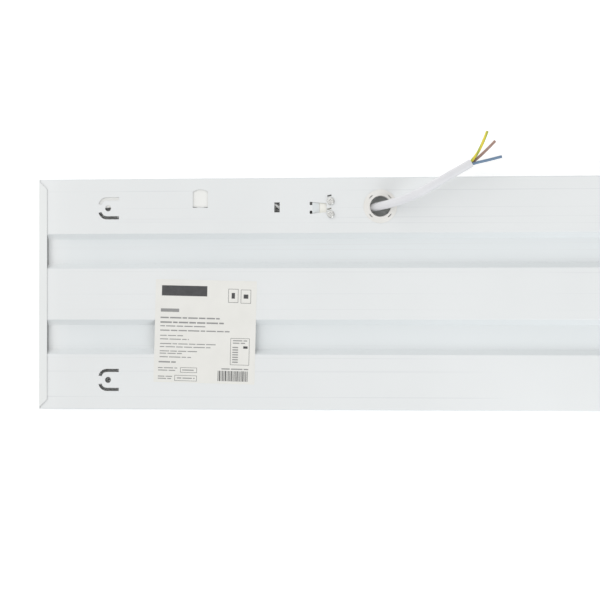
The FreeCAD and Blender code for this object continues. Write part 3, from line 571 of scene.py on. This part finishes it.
# Print on the label: plain bars, fields and borders, in millimetres from the label's upper left corner.
# All are (left, top, width, height), but a text line's second number is its middle.
label_size = (79.0, 80.0)
label_turn = math.radians(-1.4)
print_height = 0.02 * MM
text_lines = [
    (4.3, 29.7, 46.4, 1.1), (4.3, 33.3, 51.0, 1.2), (4.3, 36.2, 35.8, 0.8), (4.3, 39.6, 54.3, 0.9),
    (4.3, 43.6, 18.0, 0.7), (4.3, 46.4, 22.7, 0.7), (4.3, 50.0, 43.7, 0.7), (4.3, 52.4, 39.7, 0.7),
    (4.3, 55.7, 29.3, 0.7), (4.3, 57.5, 17.4, 0.7), (4.3, 60.3, 24.7, 0.7), (3.6, 64.2, 13.9, 1.1),
    (3.3, 68.8, 15.1, 0.7), (3.3, 70.7, 13.8, 0.7), (3.3, 75.4, 11.2, 0.7), (3.3, 77.1, 10.5, 0.7),
    (22.3, 70.2, 10.0, 0.8), (18.2, 76.5, 14.0, 0.8), (61.4, 46.4, 11.2, 0.8), (61.4, 48.3, 9.6, 0.8),
    (53.0, 68.5, 21.0, 0.9),
]
borders = [
    (57.0, 6.3, 7.8, 10.6), (66.8, 6.7, 7.9, 10.6), (59.6, 44.5, 14.8, 20.8), (20.8, 68.2, 13.0, 4.0),
    (16.4, 74.3, 17.4, 4.4),
]
dark_fields = [
    (4.9, 4.6, 35.6, 8.0), (59.6, 9.4, 2.6, 4.4), (69.0, 10.4, 3.6, 3.2), (69.6, 50.6, 3.4, 1.8),
]
grey_field = (4.4, 22.6, 14.4, 2.6)
first_row = (61.2, 51.2, 4.4, 0.9)
row_pitch = 1.9
row_count = 7
stripe_field = (50.2, 70.0, 23.4, 8.0)
stripe_widths = (0.5, 0.9, 0.35, 0.6)
stripe_gap = 0.55
border_line = 0.28
word_lengths = (6.5, 9.0, 3.6, 7.4, 5.2)
word_gap = 0.9
shortest_word = 0.5


def border_bars(left, top, width, height):
    """The four bars of a border."""
    upright = height - 2 * border_line
    return [
        (left, top, width, border_line),
        (left, top + height - border_line, width, border_line),
        (left, top + border_line, border_line, upright),
        (left + width - border_line, top + border_line, border_line, upright),
    ]


def stripe_bars(left, top, width, height):
    """Upright bars of several widths in turn, over the width of a field."""
    bars = []
    at = left
    while at < left + width:
        thick = stripe_widths[len(bars) % len(stripe_widths)]
        bars.append((at, top, thick, height))
        at += thick + stripe_gap
    return bars


def word_bars(first_word, left, middle, length, thick):
    """A line of bars of several lengths in turn, with gaps between them as between words."""
    bars = []
    at = left
    while at < left + length - shortest_word:
        word = word_lengths[(first_word + len(bars)) % len(word_lengths)]
        width = min(word, left + length - at)
        bars.append((at, middle - thick / 2, width, thick))
        at += width + word_gap
    return bars


def label_bars():
    """All the dark marks and all the grey ones, each as (left, top, width, height)."""
    dark = dark_fields + stripe_bars(*stripe_field)
    for border in borders:
        dark += border_bars(*border)
    left, top, width, height = first_row
    pale = [grey_field]
    pale += [(left, top + row_pitch * step, width, height) for step in range(row_count)]
    for number, text_line in enumerate(text_lines):
        pale += word_bars(number, *text_line)
    return dark, pale


def print_on_label():
    """The marks as thin raised bars on the label."""
    low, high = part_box("rating_label")
    middle = (low + high) / 2
    turn = Matrix.Rotation(label_turn, 3, "Z")
    shape = bmesh.new()
    for number, bars in enumerate(label_bars()):
        for left, top, width, height in bars:
            right = left + width
            foot = top + height
            bottom_ring = []
            top_ring = []
            for u, v in ((left, top), (right, top), (right, foot), (left, foot)):
                flat = turn @ Vector((u - label_size[0] / 2, label_size[1] / 2 - v, 0)) * MM
                place = Vector((middle.x + flat.x, middle.y + flat.y, high.z))
                bottom_ring.append(shape.verts.new(place))
                top_ring.append(shape.verts.new(place + UP * print_height))
            for face in [shape.faces.new(top_ring)] + join_rings(shape, bottom_ring, top_ring):
                face.material_index = number
    return add_piece("label_print", shape, [looks["ink_dark"], looks["ink_grey"]])


print_on_label()

# Floor, just under the panel's rim
FLOOR_REACH = 20.0
FLOOR_DROP = 0.2 * MM
FLOOR_PATCHES = 2.0
FLOOR_ROUGHNESS = 0.9
FLOOR_GLOW = 0.25


def floor_material():
    material, tree, shader = new_material("floor")
    cloud = noise(tree, coordinates(tree), FLOOR_PATCHES)
    colour = shades(tree, cloud, (248, 248, 248), (252, 252, 252), NOISE_MIDDLE)
    tree.links.new(colour, shader.inputs["Base Color"])
    shader.inputs["Roughness"].default_value = FLOOR_ROUGHNESS
    shader.inputs["Emission Color"].default_value = grey(1.0)
    shader.inputs["Emission Strength"].default_value = FLOOR_GLOW
    return material


floor_corners = [(FLOOR_REACH * u, FLOOR_REACH * v, 0) for u, v in ((-1, -1), (1, -1), (1, 1), (-1, 1))]
floor_mesh = bpy.data.meshes.new("floor")
floor_mesh.from_pydata(floor_corners, [], [(0, 1, 2, 3)])
floor_mesh.materials.append(floor_material())
floor = bpy.data.objects.new("floor", floor_mesh)
floor.location = (0, 0, -FLOOR_DROP)
scene.collection.objects.link(floor)


# Light
WORLD_STRENGTH = 0.52


def soft_light(name, place, aim, width, height, power, colour):
    lamp = bpy.data.lights.new(name, "AREA")
    lamp.shape = "RECTANGLE"
    lamp.size = width
    lamp.size_y = height
    lamp.energy = power
    lamp.color = colour
    holder = bpy.data.objects.new(name, lamp)
    holder.location = place
    holder.rotation_euler = (Vector(aim) - Vector(place)).to_track_quat("-Z", "Y").to_euler()
    scene.collection.objects.link(holder)


soft_light("key", place=(-0.95, 0.51, 0.82), aim=(-0.35, 0.0, 0.0),
           width=2.6, height=1.8, power=11.4, colour=(1.0, 1.0, 1.0))
soft_light("fill", place=(0.31, -0.7, 0.55), aim=(0.4, 0.0, 0.0),
           width=0.9, height=0.56, power=5.45, colour=(0.95, 0.98, 1.0))
world = bpy.data.worlds.new("studio")
world.use_nodes = True
background = world.node_tree.nodes["Background"]
background.inputs["Color"].default_value = grey(1.0)
background.inputs["Strength"].default_value = WORLD_STRENGTH
scene.world = world
scene.view_settings.view_transform = "Standard"
